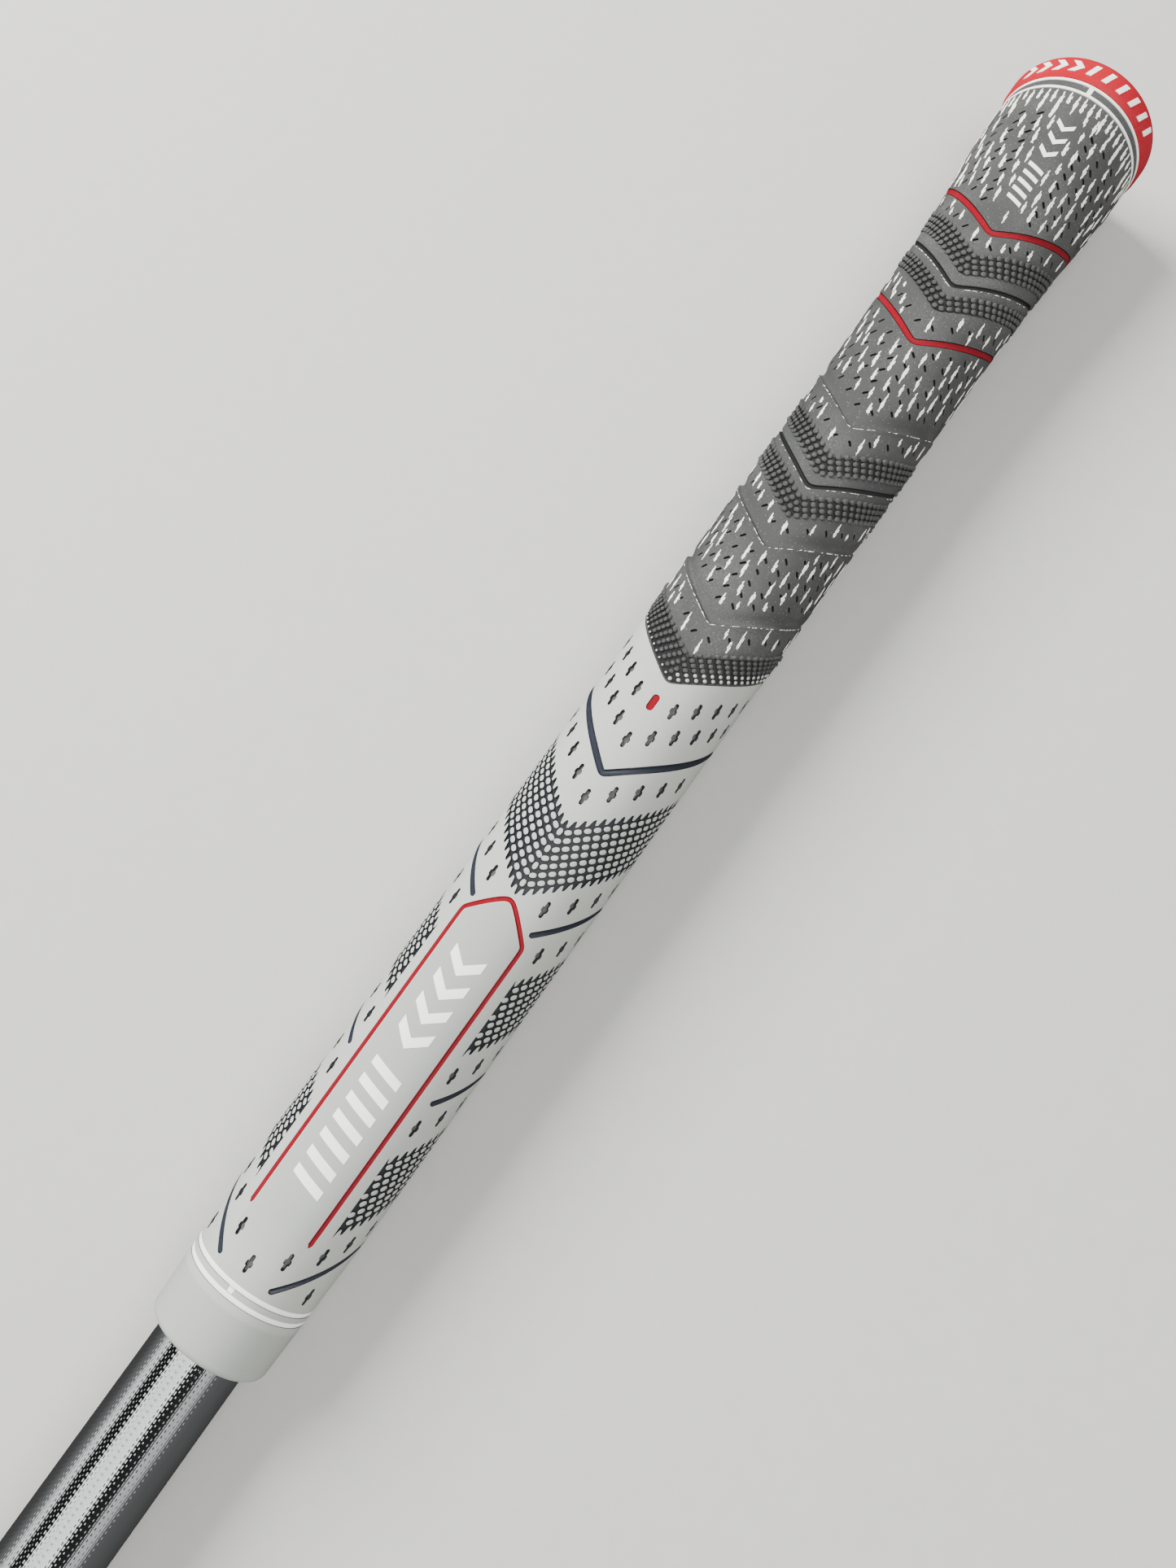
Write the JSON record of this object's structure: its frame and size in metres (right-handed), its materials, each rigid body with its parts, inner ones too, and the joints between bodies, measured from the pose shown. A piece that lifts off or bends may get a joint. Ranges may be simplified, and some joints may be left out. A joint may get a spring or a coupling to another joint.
{
  "type": "golf grip",
  "caption": "Two-tone round golf grip with a corded dark upper half, a patterned pale lower half and a red butt cap, fitted on the butt end of a chromed steel shaft.",
  "frame": {"origin": "Middle of the butt cap's flat end face, on the grip's axis.", "axes": "+X runs along the grip from the butt cap to the mouth and on along the shaft; +Z is the guide side, with the red mark and the outlined panel; +Y completes a right-handed frame."},
  "size_m": [0.3267, 0.0294, 0.0294],
  "materials": {
    "charcoal_rubber": "matte, with pale cotton cord strands showing at the surface",
    "grey_rubber": "smooth satin",
    "red_rubber": "satin",
    "slate_rubber": "satin",
    "white_trim": "satin paint in moulded rings",
    "tape": "double-sided paper tape",
    "chromed_steel": "polished, with a fine net of dimples"
  },
  "bodies": {
    "root": {"cap_shell": "red_rubber", "cap_core": "charcoal_rubber", "cap_trim": "white_trim", "upper_sleeve": "charcoal_rubber", "red_chevron_1": "red_rubber", "red_chevron_2": "red_rubber", "lower_sleeve": "grey_rubber", "slate_chevron": "slate_rubber", "hex_band": "slate_rubber", "slate_line_1_left": "slate_rubber", "slate_line_1_right": "slate_rubber", "slate_line_2_left": "slate_rubber", "slate_line_2_right": "slate_rubber", "slate_line_3_left": "slate_rubber", "slate_line_3_right": "slate_rubber", "hex_patch_a_left": "slate_rubber", "hex_patch_a_right": "slate_rubber", "hex_patch_b_left": "slate_rubber", "hex_patch_b_right": "slate_rubber", "guide_mark": "red_rubber", "panel_outline": "red_rubber", "mouth_trim": "white_trim", "grip_tape": "tape", "shaft_tube": "chromed_steel"}
  },
  "joints": []
}
